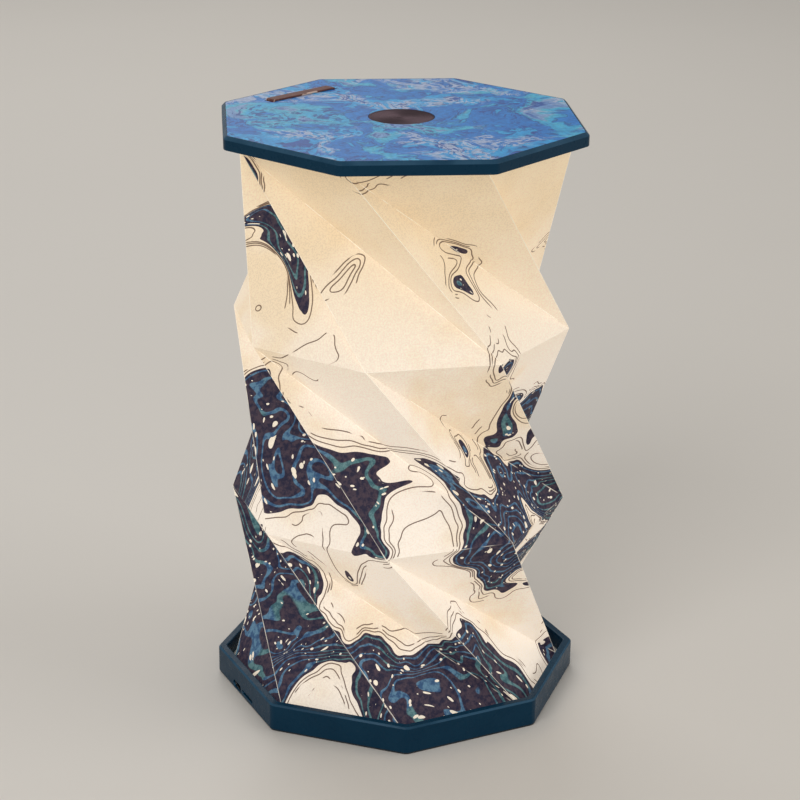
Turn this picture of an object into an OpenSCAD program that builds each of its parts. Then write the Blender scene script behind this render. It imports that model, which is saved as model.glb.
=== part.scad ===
// Folding octagonal paper lamp. All lengths in millimetres, all angles in degrees.
// +Z is up, the origin is on the lamp's axis at the underside of the non-slip pad,
// and the tray's side with the charging inlet and the switch faces -X.

/* [Outline] */
// Tray and lid, measured across two opposite flats
across_flats = 160; // [156:1:170]
// Radius of the upright corners of the tray and the lid
corner_r = 4.5; // [3:0.1:6]

/* [Paper shade] */
// Gap between the tray's wall and the folded paper, across the flats
ring_gap = 3.2; // [2.8:0.1:4.5]
// Height of one tier when the lamp stands open
tier_h = 87.5; // [70:0.5:95]
// Turn from one ring to the next when the lamp stands open
twist_open = 52; // [40:1:60]
// Thickness of the paper with its lining
paper_t = 0.4; // [0.3:0.05:0.6]
// Thickness of the card frames that the paper is glued to
frame_t = 0.6; // [0.4:0.1:1]
// Width of the card frames, along a line through a corner
frame_w = 8; // [7:0.5:10]
// How far the card frames stand out past the fold points
frame_lip = 1; // [0.5:0.1:1.5]

/* [Tray] */
// Height of the tray, without the pad
tray_h = 13; // [12:0.5:18]
// Thickness of the tray's wall
tray_wall = 3.9; // [3.4:0.1:4.4]
// Thickness of the tray's floor
tray_floor = 1.2; // [1:0.1:1.8]
// Bevel on the rim's edges
rim_bevel = 0.5; // [0.2:0.1:0.8]
// Bevel on the lower edges of the tray and the lid
foot_bevel = 0.4; // [0.2:0.1:0.6]
// Radius of the corners inside the tray
inner_corner_r = 2; // [1:0.1:3]
// Thickness of the non-slip pad
pad_t = 0.8; // [0.5:0.1:1.5]
// How far the pad stays inside the tray's edge
pad_inset = 0.6; // [0.4:0.1:0.75]
// Height of the bay for the electronics, between floor and deck
bay_h = 3; // [2.9:0.1:4]
// Thickness of the deck over the electronics
deck_t = 0.8; // [0.6:0.1:1.2]
// Diameter of the deck's posts
post_d = 5.6; // [5:0.1:7]
// Distance of the deck's posts from the inner corners of the tray
post_inset = 11.4; // [10:0.1:13.5]

/* [Light] */
// Diameter of the light board
light_board_d = 46; // [40:1:47]
// Thickness of the light board
light_board_t = 1; // [0.8:0.1:1.6]
// Number of LEDs
led_count = 12; // [6:1:16]
// Radius of the ring of LEDs
led_ring_r = 15; // [13:0.5:18]
// Length of one LED, outwards from the axis
led_l = 3.5; // [2.8:0.1:3.5]
// Width of one LED
led_w = 2.8; // [1.5:0.1:2.8]
// Height of one LED
led_h = 0.7; // [0.5:0.1:1]
// Thickness of the diffuser cap
diffuser_t = 1.2; // [0.8:0.1:1.5]
// Height of the diffuser's upright edge
diffuser_edge_h = 3; // [2.6:0.1:4]

/* [Electronics] */
// Battery cell, along X
battery_l = 58; // [40:1:58]
// Battery cell, along Y
battery_w = 44; // [30:1:56]
// Battery cell, height
battery_h = 2.7; // [2:0.1:2.8]
// Near end of the battery cell, from the axis
battery_x = -14; // [-16:1:-10]
// Main board, depth inwards from the tray's wall
board_l = 25; // [22:1:30]
// Main board, width
board_w = 36; // [34:1:42]
// Main board, thickness
board_t = 0.8; // [0.6:0.1:1]
// Diameter of a lead
lead_d = 0.9; // [0.6:0.1:1]

/* [Inlet and switch] */
// Centre of the charging inlet, along the tray's side
inlet_y = 9; // [9:0.1:11]
// Charging inlet's shell, width
inlet_w = 8.94; // [8.9:0.02:9]
// Charging inlet's shell, height
inlet_h = 3.2; // [3.1:0.02:3.26]
// Charging inlet's shell, depth
inlet_l = 7.3; // [6.5:0.1:8]
// Wall of the inlet's shell
inlet_wall = 0.3; // [0.2:0.05:0.35]
// How far the inlet's mouth lies behind the tray's outer face
inlet_recess = 0.8; // [0.4:0.1:1.2]
// Depth of the seat that the tray's floor has under the inlet
inlet_seat = 0.5; // [0.4:0.05:0.6]
// Centre of the switch slot, along the tray's side
switch_y = -3.8; // [-5:0.1:-3.6]
// Length of the switch slot
switch_slot_l = 12.4; // [11:0.1:12.8]
// Height of the switch slot
switch_slot_h = 1.7; // [1.5:0.1:1.9]
// Height of the switch slot's middle above the tray's floor
switch_lift = 1.3; // [1.3:0.05:1.4]
// Length of the switch knob
knob_l = 6; // [5:0.1:6.5]
// How far the knob's face lies behind the tray's outer face
knob_recess = 0.7; // [0.4:0.1:1.5]

/* [Lid] */
// Thickness of the lid's wall
lid_wall = 4; // [3.6:0.1:4.2]
// Thickness of the lid's skin under the top sheet
lid_skin = 1.2; // [1:0.1:2]
// Height of the space inside the lid
lid_bay_h = 3.5; // [2.7:0.1:4]
// Thickness of the printed top sheet
sheet_t = 0.6; // [0.4:0.1:0.8]
// Bevel on the lid's upper edge
lid_bevel = 1.5; // [0.8:0.1:1.8]
// Width of the flat edge between that bevel and the top sheet
sheet_lip = 0.2; // [0.1:0.05:0.4]
// Thickness of the lining plate
lining_t = 0.8; // [0.8:0.1:1.2]
// How far the lining plate lies above the lid's lower edge
lining_recess = 0.2; // [0:0.1:0.4]
// Distance of the lid's screws from the lid's inner corners
lid_screw_inset = 5.7; // [5:0.1:6.5]
// Diameter of the bosses for the lid's screws
lid_boss_d = 5.2; // [4.6:0.1:6]

/* [Centre disc] */
// Diameter of the bronze disc
disc_d = 29.8; // [28:0.2:34]
// Thickness of the disc's rim
disc_t = 1.1; // [1:0.1:1.5]
// Diameter of the disc's stem, which the lid turns on
stem_d = 24; // [18:0.5:24]
// Diameter of the washer that keeps the disc in the lid
washer_d = 29; // [27:0.5:30]
// Thickness of that washer
washer_t = 0.8; // [0.6:0.1:0.8]

/* [Strap] */
// Length of the strap between its two ends on the lid
strap_l = 39; // [36:0.5:44]
// Width of the strap
strap_w = 5.5; // [5:0.1:8]
// Thickness of the strap
strap_t = 0.9; // [0.8:0.1:1.4]
// Distance from the lid's edge to the middle of the strap
strap_inset = 17; // [14:0.1:20]
// How far the strap sits off the middle of its side
strap_shift = -2.3; // [-5:0.1:-1]
// Turn of the strap against the side that it lies along
strap_skew = -4; // [-8:1:0]
// Extra slot length that stays open at the strap's outer ends
strap_slot_end = 1.2; // [0.6:0.1:1.4]
// Thickness of the bars on the strap's ends
anchor_t = 0.9; // [0.7:0.1:1]

/* [Magnets and screws] */
// Length of a magnet
magnet_l = 12; // [8:1:16]
// Thickness of a magnet
magnet_t = 2; // [1.5:0.1:2.1]
// Height of a magnet in the tray
tray_magnet_h = 5; // [3:0.5:7]
// Height of a magnet in the lid
lid_magnet_h = 2.8; // [2:0.1:3]
// Material left over a magnet
magnet_cover = 1.2; // [1:0.1:2]
// Diameter of the screws
screw_d = 2; // [1.6:0.1:2.2]
// Diameter of the screws' heads
screw_head_d = 3.6; // [3.2:0.1:3.8]

/* [Clearances] */
// Gap round parts that are glued or laid into a seat
seat_gap = 0.1; // [0.05:0.01:0.2]
// Gap between the paper's upper edge and the frame that it is glued to
glue_gap = 0.05; // [0.02:0.01:0.1]
// Gap between the deck or the lining and the wall round it
plate_gap = 0.2; // [0.1:0.05:0.3]
// Gap round the swivel's stem
swivel_gap = 0.08; // [0.05:0.01:0.1]
// Gap above and below the lid's hub, and round the disc's rim
disc_gap = 0.1; // [0.08:0.01:0.2]
// Gap round the moving switch knob
knob_gap = 0.2; // [0.12:0.01:0.25]
// Gap round the strap where it passes through the lid
strap_gap = 0.3; // [0.2:0.05:0.4]
// Gap round the folded paper, and over the diffuser, when the lamp is shut
fold_gap = 1.2; // [0.8:0.1:1.5]

/* [Hidden] */

$fn = 64;
sides = 8;
tiers = 3;
side_angle = 360 / sides;
half_side = side_angle / 2;
twist_shut = 2 * side_angle;
cut = 1;                        // how far a cutter runs past the face that it opens

flat_r = across_flats / 2;
tray_inner_r = flat_r - tray_wall;
lid_inner_r = flat_r - lid_wall;
sheet_inset = lid_bevel + sheet_lip;
post_ring_r = tray_inner_r / cos(half_side) - post_inset;
lid_screw_ring_r = lid_inner_r / cos(half_side) - lid_screw_inset;
ring_r = (tray_inner_r - ring_gap) / cos(half_side);

// Levels, from the pad up to the lid's top
tray_z = pad_t;
floor_z = tray_z + tray_floor;
deck_z = floor_z + bay_h;
deck_top_z = deck_z + deck_t;
rim_z = tray_z + tray_h;
shade_z = deck_top_z + frame_t;
shade_top_z = shade_z + tiers * tier_h;
upper_frame_z = shade_top_z + glue_gap;
lining_z = upper_frame_z + frame_t;
lining_top_z = lining_z + lining_t;
lid_z = lining_z - lining_recess;
skin_z = lining_top_z + lid_bay_h;
sheet_z = skin_z + lid_skin;
lid_top_z = sheet_z + sheet_t;

// The paper leans inwards from each ring, so its wall is wider across than it is thick
lean = atan(ring_r * (cos(half_side) - cos(twist_open + half_side)) / tier_h);
paper_across = paper_t / cos(lean) / cos(half_side);
lid_turn = -tiers * twist_open;

// The folded paper leaves a round space in the middle, which the diffuser fills
diffuser_r = ring_r * cos((twist_shut + side_angle) / 2) - fold_gap;
diffuser_top_z = rim_z - fold_gap / 2;
light_board_z = deck_top_z;
led_z = light_board_z + light_board_t;
light_lead_hole_x = -(light_board_d / 2 + diffuser_r - diffuser_t) / 2;
light_lead_hole_r = 1.6;

// Inlet, switch and main board stand behind the side that faces -X
inlet_z = floor_z - inlet_seat + inlet_h / 2;
board_z = inlet_z - board_t / 2;
board_x = -tray_inner_r + seat_gap;
board_top_z = board_z + board_t;
board_end_x = board_x + board_l;
board_foot_d = 3;               // feet that the board stands on
board_foot_inset = 2;           // from the board's side edges
board_foot_near = 10;           // from the board's outer end
board_foot_far = 3;             // from the board's inner end
tab_l = 1.6;                    // tabs on the inlet and on the switch that lie on the board
tab_h = 0.3;
inlet_tab_w = 4;
switch_tab_w = 6;
tongue_w = 6.7;                 // tongue in the inlet, and the block that holds it
tongue_t = 0.7;
tongue_recess = 0.8;
insert_l = 1.4;
switch_z = floor_z + switch_lift;
knob_h = switch_slot_h - 2 * knob_gap;
knob_travel = switch_slot_l - knob_l - 2 * knob_gap;
carriage_l = 2;
carriage_h = switch_slot_h + 0.2;
housing_wall = 0.5;
housing_l = carriage_l + 2 * knob_gap + housing_wall;
housing_w = switch_slot_l + 2 * housing_wall;
housing_h = carriage_h + 0.7;
plug_w = 5;                     // connectors on the main board
plug_l = 3;
plug_h = 1.1;
plug_inset = 6;                 // from the board's side edges
plug_y = [for (side = [-1, 1]) side * (board_w / 2 - plug_inset)];
chip_w = 4;                     // charging chip and light driver
chip_h = 0.9;
charger_l = 4;
charger_inset = 9;              // from the board's inner end
driver_l = 5;
driver_inset = 10;
coil_d = 4;
coil_inset = 4;
battery_corner_r = 3;

// Screws: a countersunk head as deep as the plate that it sits in
screw_head_h = 1;
tray_screw_l = bay_h - 0.4;
lid_screw_l = lid_bay_h - 0.4;

// Centre disc: rim in the top sheet, stem in the lid's hub, washer below
disc_z = lid_top_z - disc_t;
hub_seat_z = disc_z - disc_gap;
washer_z = lining_top_z + 0.35;
stem_z = washer_z + washer_t;
hub_z = stem_z + disc_gap;
hub_r = stem_d / 2 + 5;
swivel_screw_z = washer_z;
swivel_screw_l = disc_z - stem_z - 0.6;

// Strap: lies on the top sheet, goes down through two slots and ends in two bars
strap_z = lid_top_z + 0.05;
anchor_z = lining_top_z + 0.1;
leg_z = anchor_z + anchor_t;
strap_travel = skin_z - leg_z - 0.2;
strap_side = 6;                 // number of the side that the strap lies along
anchor_w = strap_w + 2.1;
anchor_l = strap_t + 2;

// Magnets stand in the middle of the walls of every other side
magnet_angles = [for (k = [0:3]) side_angle * (2 * k + 1)];
tray_magnet_r = flat_r - tray_wall / 2;
tray_magnet_z = rim_z - magnet_cover - tray_magnet_h;
lid_magnet_r = flat_r - lid_wall / 2;
lid_magnet_z = lid_z + 0.1;

lead_spread = 1.4;              // distance between the two leads of a pair

// Octagonal slab with round upright corners, flats square to X and Y, bevelled edges
module oct_slab(flat, h, r, low = 0, high = 0) {
    hull()
        for (k = [0:sides - 1])
            rotate([0, 0, (k + 0.5) * side_angle])
                translate([(flat - r) / cos(half_side), 0, 0]) {
                    translate([0, 0, low]) cylinder(r = r, h = h - low - high, $fn = 32);
                    if (low > 0) cylinder(r = r - low, h = low, $fn = 32);
                    if (high > 0) cylinder(r = r - high, h = h, $fn = 32);
                }
}

// Octagonal hollow whose mouth widens by a bevel at its upper end
module oct_hollow(flat, h, r, bevel) {
    oct_slab(flat, h + cut, r);
    translate([0, 0, h - bevel])
        hull() {
            oct_slab(flat, 0.01, r);
            translate([0, 0, bevel]) oct_slab(flat + bevel, 0.01, r + bevel);
        }
}

// Flat octagonal plate with sharp corners, given by its corner radius
module oct_plate(corner, h) {
    rotate([0, 0, half_side]) cylinder(r = corner, h = h, $fn = sides);
}

// Flat octagonal frame, given by the radii of its outer and inner corners
module oct_frame(outer, inner, h) {
    difference() {
        oct_plate(outer, h);
        translate([0, 0, -cut]) oct_plate(inner, h + 2 * cut);
    }
}

// Copies at every corner of the octagon
module at_corners(distance) {
    for (k = [0:sides - 1])
        rotate([0, 0, (k + 0.5) * side_angle]) translate([distance, 0, 0]) children();
}

// Copies on the sides that carry a magnet
module at_magnets(distance) {
    for (a = magnet_angles) rotate([0, 0, a]) translate([distance, 0, 0]) children();
}

// Block that is centred in X and Y and stands on its lower face
module block(size) {
    translate([-size[0] / 2, -size[1] / 2, 0]) cube(size);
}

module magnet_pocket(h) {
    block([magnet_t + 2 * seat_gap, magnet_l + 2 * seat_gap, h]);
}

// Bar along X with a flat oval section
module oval_bar(l, w, h) {
    translate([0, -(w - h) / 2, -h / 2]) cube([l, w - h, h]);
    for (side = [-1, 1])
        translate([0, side * (w - h) / 2, 0]) rotate([0, 90, 0]) cylinder(d = h, h = l);
}

// Slab with round corners
module round_slab(l, w, h, r) {
    translate([0, r - w / 2, 0]) cube([l, w - 2 * r, h]);
    translate([r, -w / 2, 0]) cube([l - 2 * r, w, h]);
    for (x = [r, l - r], y = [r - w / 2, w / 2 - r])
        translate([x, y, 0]) cylinder(r = r, h = h);
}

// Countersunk screw, point up; its head's outer face is at z = 0
module screw(l, gap = 0) {
    cylinder(d1 = screw_head_d + 2 * gap, d2 = screw_d + 2 * gap, h = screw_head_h);
    translate([0, 0, screw_head_h - 0.01]) cylinder(d = screw_d + 2 * gap, h = l + 0.01);
}

// What a countersunk screw needs open in the plate that its head sits in
module screw_seat(plate_t) {
    translate([0, 0, plate_t - screw_head_h]) screw(cut, seat_gap);
    translate([0, 0, -cut]) cylinder(d = screw_head_d + 2 * seat_gap, h = plate_t - screw_head_h + cut);
}

// Round tube along a list of points that doesn't run along Y
function unit(v) = v / norm(v);
function course(path, i) = unit(path[min(i + 1, len(path) - 1)] - path[max(i - 1, 0)]);
function tube_ring(path, i, d, n) =
    let (ahead = course(path, i), across = unit(cross(ahead, [0, 1, 0])), aside = cross(across, ahead))
    [for (k = [0:n - 1]) path[i] + d / 2 * (across * cos(360 * k / n) + aside * sin(360 * k / n))];

module tube(path, d, n = 8) {
    last = len(path) - 1;
    points = [for (i = [0:last]) each tube_ring(path, i, d, n)];
    sides_faces = [
        for (i = [0:last - 1], k = [0:n - 1])
            each [
                [i * n + k, i * n + (k + 1) % n, (i + 1) * n + k],
                [i * n + (k + 1) % n, (i + 1) * n + (k + 1) % n, (i + 1) * n + k]
            ]
    ];
    start_face = [for (k = [n - 1:-1:0]) k];
    end_face = [for (k = [0:n - 1]) last * n + k];
    polyhedron(points, concat(sides_faces, [start_face, end_face]), convexity = 4);
}

module lead_pair(path) {
    for (side = [-1, 1])
        tube([for (p = path) p + [0, side * lead_spread / 2, 0]], lead_d);
}

// Ring of fold points at the foot of a tier, numbered from the tray up
function fold_ring(level, r) = [
    for (k = [0:sides - 1])
        let (a = half_side + k * side_angle - level * twist_open)
        [r * cos(a), r * sin(a), shade_z + level * tier_h]
];

module in_lid() {
    rotate([0, 0, lid_turn]) children();
}

module strap_slots(z, h) {
    slot_l = strap_t + strap_gap + strap_slot_end;
    for (end = [-1, 1])
        translate([0, end * (strap_l / 2 + strap_slot_end - slot_l / 2), z])
            block([strap_w + 2 * strap_gap, slot_l, h]);
}

// Place of the strap, on a lid that isn't turned
module at_strap() {
    rotate([0, 0, strap_side * side_angle])
        translate([flat_r - strap_inset, strap_shift, 0])
            rotate([0, 0, strap_skew]) children();
}

module paper_frame(z) {
    color("#d8c8a6") translate([0, 0, z]) oct_frame(ring_r + frame_lip, ring_r + frame_lip - frame_w, frame_t);
}

module tray() {
    color("#1f4763")
    difference() {
        union() {
            difference() {
                translate([0, 0, tray_z]) oct_slab(flat_r, tray_h, corner_r, foot_bevel, rim_bevel);
                translate([0, 0, floor_z])
                    oct_hollow(tray_inner_r, rim_z - floor_z, inner_corner_r, rim_bevel);
            }
            for (x = [board_x + board_foot_near, board_end_x - board_foot_far], y = [-1, 1])
                translate([x, y * (board_w / 2 - board_foot_inset), floor_z])
                    cylinder(d = board_foot_d, h = board_z - floor_z);
        }
        translate([-flat_r - cut, inlet_y, inlet_z])
            oval_bar(tray_wall + 2 * cut, inlet_w + 2 * knob_gap, inlet_h + 2 * seat_gap);
        translate([-tray_inner_r - cut, inlet_y - inlet_w / 2 - knob_gap, floor_z - inlet_seat])
            cube([inlet_l - tray_wall + inlet_recess + cut + knob_gap, inlet_w + 2 * knob_gap, inlet_h]);
        translate([-flat_r - cut, switch_y, switch_z])
            oval_bar(tray_wall + 2 * cut, switch_slot_l, switch_slot_h);
        at_corners(post_ring_r) translate([0, 0, tray_z]) screw_seat(tray_floor);
        at_magnets(tray_magnet_r) translate([0, 0, tray_z - cut]) magnet_pocket(tray_h - magnet_cover + cut);
    }
}

module nonslip_pad() {
    color("#22262a") oct_slab(flat_r - pad_inset, pad_t, corner_r - pad_inset);
}

module deck() {
    color("#e9e9e4")
    difference() {
        union() {
            translate([0, 0, deck_z]) oct_slab(tray_inner_r - plate_gap, deck_t, inner_corner_r);
            at_corners(post_ring_r) translate([0, 0, floor_z]) cylinder(d = post_d, h = bay_h + deck_t / 2);
        }
        at_corners(post_ring_r)
            translate([0, 0, floor_z - cut]) cylinder(d = screw_d + 2 * seat_gap, h = bay_h + cut);
        translate([light_lead_hole_x, 0, deck_z - cut]) cylinder(r = light_lead_hole_r, h = deck_t + 2 * cut);
    }
}

module tray_screws() {
    color("#b9bcc0")
    at_corners(post_ring_r) translate([0, 0, floor_z - screw_head_h]) screw(tray_screw_l);
}

module tray_magnets() {
    color("#8d9196")
    at_magnets(tray_magnet_r) translate([0, 0, tray_magnet_z]) block([magnet_t, magnet_l, tray_magnet_h]);
}

module battery_cell() {
    color("#c3c7cb")
    translate([battery_x, 0, floor_z])
        round_slab(battery_l, battery_w, battery_h, battery_corner_r);
}

module main_board() {
    color("#1c5a3a")
    difference() {
        translate([board_x, -board_w / 2, board_z]) cube([board_l, board_w, board_t]);
        translate([board_x - cut, inlet_y - inlet_w / 2 - seat_gap, board_z - cut])
            cube([inlet_l + inlet_recess - tray_wall + cut, inlet_w + 2 * seat_gap, board_t + 2 * cut]);
        translate([board_x - cut, switch_y - housing_w / 2 - seat_gap, board_z - cut])
            cube([housing_l + cut, housing_w + 2 * seat_gap, board_t + 2 * cut]);
    }
}

// Two plugs for the leads, the charging chip, the light driver and a coil
module board_parts() {
    color("#2b2d30")
    translate([0, 0, board_top_z]) {
        for (y = plug_y) translate([board_end_x - plug_l / 2, y, 0]) block([plug_l, plug_w, plug_h]);
        translate([board_end_x - charger_inset, inlet_y, 0]) block([charger_l, chip_w, chip_h]);
        translate([board_end_x - driver_inset, switch_y, 0]) block([driver_l, chip_w, chip_h]);
        translate([board_end_x - coil_inset, 0, 0]) cylinder(d = coil_d, h = plug_h);
    }
}

module battery_leads() {
    from = [battery_x, plug_y[1], floor_z + battery_h / 2];
    to = [board_end_x, plug_y[1], board_top_z + plug_h / 2];
    color("#b8312f")
    lead_pair([from, from + [-5, 0, 0], from + [-12, 1, 0.1], to + [12, 1, 0], to + [5, 0, 0], to]);
}

module light_leads() {
    from = [board_end_x, plug_y[0], board_top_z + plug_h / 2];
    hole = [light_lead_hole_x, 0, deck_z];
    to = [-light_board_d / 2 + 2.5, 0, led_z + lead_d / 2];
    color("#e6e2d8")
    lead_pair([
        from, from + [5, 0, 0], from + [12, 4, -0.3], [hole[0] - 5, -3, deck_z - 1.4],
        hole + [-1.4, -0.8, -1], hole + [-0.3, -0.1, 0], hole + [0, 0, deck_t],
        [hole[0] + 0.2, 0, to[2] - 0.3], [hole[0] + 1, 0, to[2] + 0.15], to
    ]);
}

module inlet_shell() {
    color("#c9ccd0")
    difference() {
        union() {
            translate([inlet_recess - flat_r, inlet_y, inlet_z]) oval_bar(inlet_l, inlet_w, inlet_h);
            translate([inlet_recess - flat_r + inlet_l - inlet_wall, inlet_y - inlet_tab_w / 2, board_top_z])
                cube([tab_l + inlet_wall, inlet_tab_w, tab_h]);
        }
        translate([inlet_recess - flat_r - cut, inlet_y, inlet_z])
            oval_bar(inlet_l + cut - inlet_wall, inlet_w - 2 * inlet_wall, inlet_h - 2 * inlet_wall);
    }
}

module inlet_tongue() {
    back_x = inlet_recess - flat_r + inlet_l - inlet_wall;
    color("#26282b") {
        translate([back_x - insert_l, inlet_y, inlet_z])
            oval_bar(insert_l, inlet_w - 2 * inlet_wall - seat_gap, inlet_h - 2 * inlet_wall - seat_gap);
        translate([inlet_recess - flat_r + tongue_recess, inlet_y - tongue_w / 2, inlet_z - tongue_t / 2])
            cube([inlet_l - inlet_wall - insert_l / 2 - tongue_recess, tongue_w, tongue_t]);
    }
}

module switch_housing() {
    channel_h = carriage_h + 2 * seat_gap;
    color("#a9adb1")
    difference() {
        union() {
            translate([-tray_inner_r, switch_y - housing_w / 2, switch_z - housing_h / 2])
                cube([housing_l, housing_w, housing_h]);
            translate([housing_l - tray_inner_r - housing_wall, switch_y - switch_tab_w / 2, board_top_z])
                cube([tab_l + housing_wall, switch_tab_w, tab_h]);
        }
        translate([-tray_inner_r - cut, switch_y - switch_slot_l / 2, switch_z - channel_h / 2])
            cube([housing_l - housing_wall + cut, switch_slot_l, channel_h]);
    }
}

// The knob rests at the end of its slot next to the -Y corner
module switch_knob() {
    rib_l = 0.3;
    rib_pitch = knob_l / 6;
    color("#191b1d")
    translate([0, switch_y - knob_travel / 2, switch_z]) {
        translate([knob_gap - tray_inner_r, -knob_l / 2, -carriage_h / 2])
            cube([carriage_l, knob_l, carriage_h]);
        translate([knob_recess - flat_r + rib_l, 0, 0])
            oval_bar(tray_wall - knob_recess - rib_l + knob_gap + 0.1, knob_l, knob_h);
        for (k = [-2:2])
            translate([knob_recess - flat_r, k * rib_pitch - rib_l / 2, -knob_h / 2])
                cube([rib_l + 0.1, rib_l, knob_h]);
    }
}

module light_board() {
    color("#f4f4f0") translate([0, 0, light_board_z]) cylinder(d = light_board_d, h = light_board_t);
}

module leds() {
    color("#f6d46a")
    for (k = [0:led_count - 1])
        rotate([0, 0, 360 * (k + 0.5) / led_count])
            translate([led_ring_r, 0, led_z]) block([led_l, led_w, led_h]);
}

// Shallow domed cap; its dome is part of a ball
module diffuser_cap() {
    dome_h = diffuser_top_z - deck_top_z - diffuser_edge_h;
    ball_r = (diffuser_r * diffuser_r + dome_h * dome_h) / (2 * dome_h);
    color("#fbf8ee")
    difference() {
        intersection() {
            translate([0, 0, deck_top_z]) cylinder(r = diffuser_r, h = diffuser_edge_h + dome_h, $fn = 96);
            translate([0, 0, diffuser_top_z - ball_r]) sphere(r = ball_r, $fn = 128);
        }
        intersection() {
            translate([0, 0, deck_top_z - cut])
                cylinder(r = diffuser_r - diffuser_t, h = diffuser_edge_h + dome_h + cut, $fn = 96);
            translate([0, 0, diffuser_top_z - ball_r]) sphere(r = ball_r - diffuser_t, $fn = 128);
        }
    }
}

module lower_paper_frame() {
    paper_frame(deck_top_z);
}

// One sheet, folded in tiers. Fold k of a ring runs down to fold k of the ring below as a ridge
// and to fold k + 1 as a valley.
module paper_shade() {
    rings = tiers + 1;
    inside = rings * sides;
    function at(level, k) = level * sides + k % sides;
    outer_points = [for (level = [0:tiers]) each fold_ring(level, ring_r)];
    inner_points = [for (level = [0:tiers]) each fold_ring(level, ring_r - paper_across)];
    outer_faces = [
        for (level = [0:tiers - 1], k = [0:sides - 1])
            each [
                [at(level, k), at(level + 1, k), at(level, k + 1)],
                [at(level + 1, k), at(level + 1, k + 1), at(level, k + 1)]
            ]
    ];
    inner_faces = [for (f = outer_faces) [f[0] + inside, f[2] + inside, f[1] + inside]];
    end_faces = [
        for (k = [0:sides - 1])
            each [
                [at(0, k), at(0, k + 1), at(0, k + 1) + inside],
                [at(0, k), at(0, k + 1) + inside, at(0, k) + inside],
                [at(tiers, k), at(tiers, k + 1) + inside, at(tiers, k + 1)],
                [at(tiers, k), at(tiers, k) + inside, at(tiers, k + 1) + inside]
            ]
    ];
    points = concat(outer_points, inner_points);
    color("#f3e3c4") polyhedron(points, concat(outer_faces, inner_faces, end_faces), convexity = 8);
}

module upper_paper_frame() {
    in_lid() paper_frame(upper_frame_z);
}

module lid_lining() {
    color("#eceae2")
    in_lid()
        difference() {
            translate([0, 0, lining_z]) oct_slab(lid_inner_r - plate_gap, lining_t, inner_corner_r);
            at_corners(lid_screw_ring_r) translate([0, 0, lining_z]) lid_screw_seat();
        }
}

// The lining is thinner than a screw's head is deep, so the heads end flush inside the bosses
module lid_screw_seat() {
    translate([0, 0, -0.01]) screw(cut, seat_gap);
}

module lid_shell() {
    color("#1f4763")
    in_lid()
        difference() {
            union() {
                difference() {
                    translate([0, 0, lid_z])
                        oct_slab(flat_r, lid_top_z - lid_z, corner_r, foot_bevel, lid_bevel);
                    translate([0, 0, lid_z - cut])
                        oct_slab(lid_inner_r, skin_z - lid_z + cut, inner_corner_r);
                }
                translate([0, 0, hub_z]) cylinder(r = hub_r, h = sheet_z - hub_z);
                at_corners(lid_screw_ring_r)
                    translate([0, 0, lining_top_z]) cylinder(d = lid_boss_d, h = sheet_z - lining_top_z);
            }
            translate([0, 0, sheet_z]) oct_slab(flat_r - sheet_inset, sheet_t + cut, corner_r - sheet_inset);
            translate([0, 0, hub_z - cut])
                cylinder(d = stem_d + 2 * swivel_gap, h = sheet_z - hub_z + 2 * cut);
            translate([0, 0, hub_seat_z])
                cylinder(d = disc_d + 2 * disc_gap, h = lid_top_z - hub_seat_z + cut);
            at_strap() strap_slots(skin_z - cut, lid_skin + 2 * cut);
            at_corners(lid_screw_ring_r)
                translate([0, 0, lining_z]) screw(lid_screw_l + 0.2, seat_gap);
            at_magnets(lid_magnet_r)
                translate([0, 0, lid_z - cut])
                    magnet_pocket(lid_magnet_z + lid_magnet_h - lid_z + cut);
        }
}

module top_sheet() {
    color("#3f84bd")
    difference() {
        in_lid()
            translate([0, 0, sheet_z])
                oct_slab(flat_r - sheet_inset - seat_gap, sheet_t, corner_r - sheet_inset - seat_gap);
        translate([0, 0, sheet_z - cut]) cylinder(d = disc_d + 2 * disc_gap, h = sheet_t + 2 * cut);
        in_lid() at_strap() strap_slots(sheet_z - cut, sheet_t + 2 * cut);
    }
}

module lid_screws() {
    color("#b9bcc0") in_lid() at_corners(lid_screw_ring_r) translate([0, 0, lining_z]) screw(lid_screw_l);
}

module lid_magnets() {
    color("#8d9196")
    in_lid()
        at_magnets(lid_magnet_r) translate([0, 0, lid_magnet_z]) block([magnet_t, magnet_l, lid_magnet_h]);
}

module centre_disc() {
    color("#5d4740")
    difference() {
        union() {
            translate([0, 0, disc_z]) cylinder(d = disc_d, h = disc_t, $fn = 96);
            translate([0, 0, stem_z]) cylinder(d = stem_d, h = disc_z - stem_z + disc_t / 2);
        }
        translate([0, 0, stem_z - cut])
            cylinder(d = screw_d + 2 * seat_gap, h = swivel_screw_l + seat_gap + cut);
    }
}

module swivel_washer() {
    color("#b9bcc0")
    difference() {
        translate([0, 0, washer_z]) cylinder(d = washer_d, h = washer_t);
        translate([0, 0, washer_z - 0.01])
            cylinder(d1 = screw_head_d + 2 * seat_gap, d2 = screw_d + 2 * seat_gap, h = washer_t + 0.02);
    }
}

module swivel_screw() {
    color("#8d9196")
    translate([0, 0, swivel_screw_z]) {
        cylinder(d1 = screw_head_d, d2 = screw_d, h = washer_t);
        translate([0, 0, washer_t - 0.01]) cylinder(d = screw_d, h = swivel_screw_l + 0.01);
    }
}

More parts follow.
